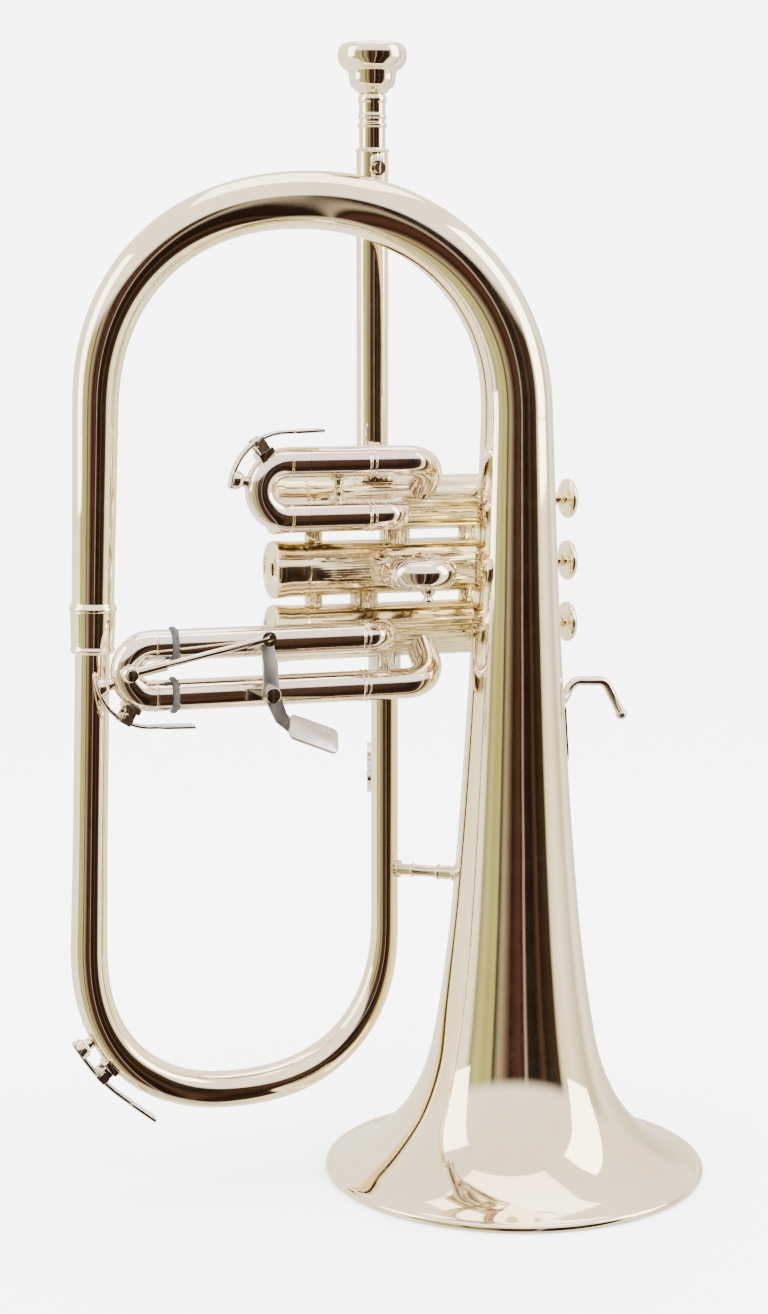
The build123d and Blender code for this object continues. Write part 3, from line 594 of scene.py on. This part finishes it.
def makeLevelSlide(which):
    slide = slides[which]
    outer, y = slides["outer"], slides["y"]
    legs = []
    for height, (endX, valveZ, radius) in zip(slide["heights"], slide["ends"]):
        target = Vector((endX, 0, valveZ))
        corner = Vector((endX, y, height))
        stop = corner + (target - corner) * (1 - casingReach / (target - corner).length)
        run = filletRun((slide["start"], y, height), corner, stop, radius)
        legs.append(tube("leg", run, [outer] * len(run), slides["bell"], slides["fine"]))
        legs += [ringBand(x, height) for x in slide["rings"]]
    finishPiece(joined(which + "SlideTubes", legs), [which + "_slide_legs"])
    high, low = slide["heights"]
    mid, reach = (high + low) / 2, (high - low) / 2
    bend = []
    for angle in range(0, 181, 12):
        turn = math.radians(angle)
        bend.append(Vector((slide["turnX"] - reach * math.sin(turn), y, mid + reach * math.cos(turn))))
    mouth = slide["start"] - slide["gap"]
    run = straight((mouth, y, high), bend[0], 5)[:-1] + bend + straight(bend[-1], (mouth, y, low), 5)[1:]
    parts = [tube("bend", run, [outer] * len(run), outer - slides["bore"], slides["fine"])]
    for height in slide["heights"]:
        bore, skin, near, far = slides["bore"], slides["inner"], mouth - 0.5, slide["innerEnd"]
        inner = [(bore, near), (skin, near), (skin, far), (bore, far), (bore, near)]
        parts.append(lathe("inner", inner, (0, y, height), "X", 64))
        parts.append(ringBand(slide["turnX"] + slide["crookRing"], height, 0.25))
    finishPiece(joined(which + "SlideBend", parts), [which + "_slide_crook"])


makeLevelSlide("first")
makeLevelSlide("third")
print("slides made")

# the other fittings keep their CAD shape, merged and softened, with the key levers a little thicker

softened = {
    "trigger_lever": 0.35, "trigger_bracket": 0.3, "link_stud": 0.2, "link_rod": 0.2, "trigger_pivot_screw": 0.3,
    "first_key_lever": 0.2, "third_key_lever": 0.2, "lower_key_lever": 0.2,
    "first_key_saddle": 0.2, "third_key_saddle": 0.2, "lower_key_saddle": 0.2,
}
thickened = {"first_key_lever": 0.08, "third_key_lever": 0.08, "lower_key_lever": 0.3}
handled = {node for node in frame["nodes"] if frame["nodes"][node].hide_render}
for node in frame["nodes"]:
    if node not in handled:
        fitting = cleanCopy(node, softened.get(node, 0.0), thickened.get(node, 0.0))
        if node.startswith("valve_spring_"):
            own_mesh(fitting)
print("fittings made")

# floor, lights and camera

studio = {
    "floor": 60.0, "floorDrop": 0.0004, "floorTint": (0.96, 0.955, 0.945), "floorRough": 0.9, "floorSheen": 0.1,
    "cameraPlace": (-0.3162, -0.8830, 0.3344), "yaw": 19.344, "pitch": 4.707, "lens": 66.12, "shiftY": -0.0925,
    "lights": [
        {"name": "rightBox", "place": (1.1, -0.5, 0.8), "aim": (0.0, 0.0, 0.22), "size": (0.7, 1.2), "power": 16},
        {"name": "leftBox", "place": (-1.2, 0.1, 0.7), "aim": (0.0, 0.0, 0.22), "size": (0.6, 1.1), "power": 10},
        {"name": "topBox", "place": (0.1, 0.2, 1.6), "aim": (0.0, 0.0, 0.2), "size": (1.2, 1.2), "power": 14},
    ],
}


def makeStudio():
    deselect()
    bpy.ops.mesh.primitive_plane_add(size=studio["floor"], location=(0, 0, -studio["floorDrop"]))
    floor = bpy.context.object
    floor.name = "floor"
    paper = bpy.data.materials.new("palePaper")
    paper.use_nodes = True
    shader = paper.node_tree.nodes["Principled BSDF"]
    shader.inputs["Base Color"].default_value = (*studio["floorTint"], 1)
    shader.inputs["Roughness"].default_value = studio["floorRough"]
    shader.inputs["Specular IOR Level"].default_value = studio["floorSheen"]
    floor.data.materials.append(paper)
    floor.visible_glossy = False  # the room's own tones show in the metal instead
    for box in studio["lights"]:
        lamp = bpy.data.lights.new(box["name"], "AREA")
        lamp.shape = "RECTANGLE"
        lamp.size, lamp.size_y = box["size"]
        lamp.energy = box["power"]
        lampObject = bpy.data.objects.new(box["name"], lamp)
        bpy.context.collection.objects.link(lampObject)
        lampObject.location = box["place"]
        aim = Vector(box["aim"]) - Vector(box["place"])
        lampObject.rotation_euler = aim.to_track_quat("-Z", "Y").to_euler()


roomTones = [  # bearing in degrees round from the camera's side, colour
    (-180, (1.0, 0.97, 0.86)), (-110, (0.92, 0.87, 0.68)), (-84, (1.0, 0.96, 0.82)), (-72, (0.95, 0.9, 0.7)),
    (-66, (0.25, 0.22, 0.1)), (-56, (0.42, 0.40, 0.17)), (-46, (0.30, 0.30, 0.10)), (-36, (0.36, 0.35, 0.14)),
    (-32, (0.02, 0.014, 0.01)), (-24, (0.26, 0.22, 0.15)), (-15, (0.10, 0.06, 0.045)), (-9, (0.015, 0.008, 0.006)),
    (4, (0.05, 0.02, 0.014)), (10, (0.012, 0.007, 0.006)), (13, (0.30, 0.25, 0.20)), (16, (0.012, 0.007, 0.006)),
    (30, (0.008, 0.005, 0.004)), (37, (0.05, 0.025, 0.015)), (42, (0.01, 0.006, 0.005)), (60, (0.03, 0.018, 0.01)),
    (66, (0.8, 0.72, 0.52)), (82, (1.0, 0.96, 0.84)), (108, (0.55, 0.5, 0.36)), (122, (1.0, 0.97, 0.86)),
    (150, (0.7, 0.66, 0.5)), (180, (1.0, 0.97, 0.86)),
]
roomLevels = {  # height of a direction, from -1 at the floor to 1 overhead
    "floorStart": -0.90, "floorEnd": -0.99, "floorTone": (0.55, 0.50, 0.36),
    "ceilingStart": 0.20, "ceilingEnd": 0.36, "ceilingTone": (1.0, 0.92, 0.86),
    "strength": 2.4, "plainStrength": 7.0,
}


def makeRoom():
    world = bpy.data.worlds.new("room")
    bpy.context.scene.world = world
    world.use_nodes = True
    nodes, links = world.node_tree.nodes, world.node_tree.links
    nodes.clear()
    out = nodes.new("ShaderNodeOutputWorld")
    coords = nodes.new("ShaderNodeTexCoord")
    turn = nodes.new("ShaderNodeMapping")
    turn.vector_type = "POINT"
    turn.inputs["Rotation"].default_value = (0, 0, math.radians(studio["yaw"]))
    split = nodes.new("ShaderNodeSeparateXYZ")
    bearing = nodes.new("ShaderNodeMath")
    bearing.operation = "ARCTAN2"
    back = nodes.new("ShaderNodeMath")
    back.operation = "MULTIPLY"
    back.inputs[1].default_value = -1.0
    share = nodes.new("ShaderNodeMapRange")
    share.inputs["From Min"].default_value = -math.pi
    share.inputs["From Max"].default_value = math.pi
    links.new(coords.outputs["Generated"], turn.inputs["Vector"])
    links.new(turn.outputs["Vector"], split.inputs["Vector"])
    links.new(split.outputs["Y"], back.inputs[0])
    links.new(split.outputs["X"], bearing.inputs[0])
    links.new(back.outputs["Value"], bearing.inputs[1])
    links.new(bearing.outputs["Value"], share.inputs["Value"])
    ramp = nodes.new("ShaderNodeValToRGB")
    stops = ramp.color_ramp.elements
    stops[0].position, stops[1].position = 0.0, 1.0
    stops[0].color, stops[1].color = (*roomTones[0][1], 1), (*roomTones[-1][1], 1)
    for angle, tone in roomTones[1:-1]:
        stop = stops.new((angle + 180) / 360)
        stop.color = (*tone, 1)
    links.new(share.outputs["Result"], ramp.inputs["Fac"])

    def blendBand(start, end, below, tone):
        band = nodes.new("ShaderNodeMapRange")
        band.interpolation_type = "SMOOTHSTEP"
        band.inputs["From Min"].default_value = start
        band.inputs["From Max"].default_value = end
        mix = nodes.new("ShaderNodeMix")
        mix.data_type = "RGBA"
        links.new(split.outputs["Z"], band.inputs["Value"])
        links.new(band.outputs["Result"], mix.inputs[0])
        links.new(below, mix.inputs[6])
        mix.inputs[7].default_value = (*tone, 1)
        return mix.outputs[2]

    walls = blendBand(roomLevels["ceilingStart"], roomLevels["ceilingEnd"],
                      ramp.outputs["Color"], roomLevels["ceilingTone"])
    whole = blendBand(roomLevels["floorStart"], roomLevels["floorEnd"], walls, roomLevels["floorTone"])
    roomLight = nodes.new("ShaderNodeBackground")
    links.new(whole, roomLight.inputs["Color"])
    roomLight.inputs["Strength"].default_value = roomLevels["strength"]
    plain = nodes.new("ShaderNodeBackground")
    plain.inputs["Color"].default_value = (1, 1, 1, 1)
    plain.inputs["Strength"].default_value = roomLevels["plainStrength"]
    path = nodes.new("ShaderNodeLightPath")
    choose = nodes.new("ShaderNodeMixShader")
    links.new(path.outputs["Is Glossy Ray"], choose.inputs["Fac"])
    links.new(plain.outputs["Background"], choose.inputs[1])
    links.new(roomLight.outputs["Background"], choose.inputs[2])
    links.new(choose.outputs["Shader"], out.inputs["Surface"])


def makeCamera():
    lens = bpy.data.cameras.new("viewer")
    camera = bpy.data.objects.new("viewer", lens)
    bpy.context.collection.objects.link(camera)
    camera.location = studio["cameraPlace"]
    camera.rotation_euler = (math.radians(90 - studio["pitch"]), 0, math.radians(-studio["yaw"]))
    lens.sensor_fit = "VERTICAL"
    lens.sensor_height = 36
    lens.lens = studio["lens"]
    lens.shift_y = studio["shiftY"]
    bpy.context.scene.camera = camera


makeStudio()
makeRoom()
makeCamera()
print("studio made")
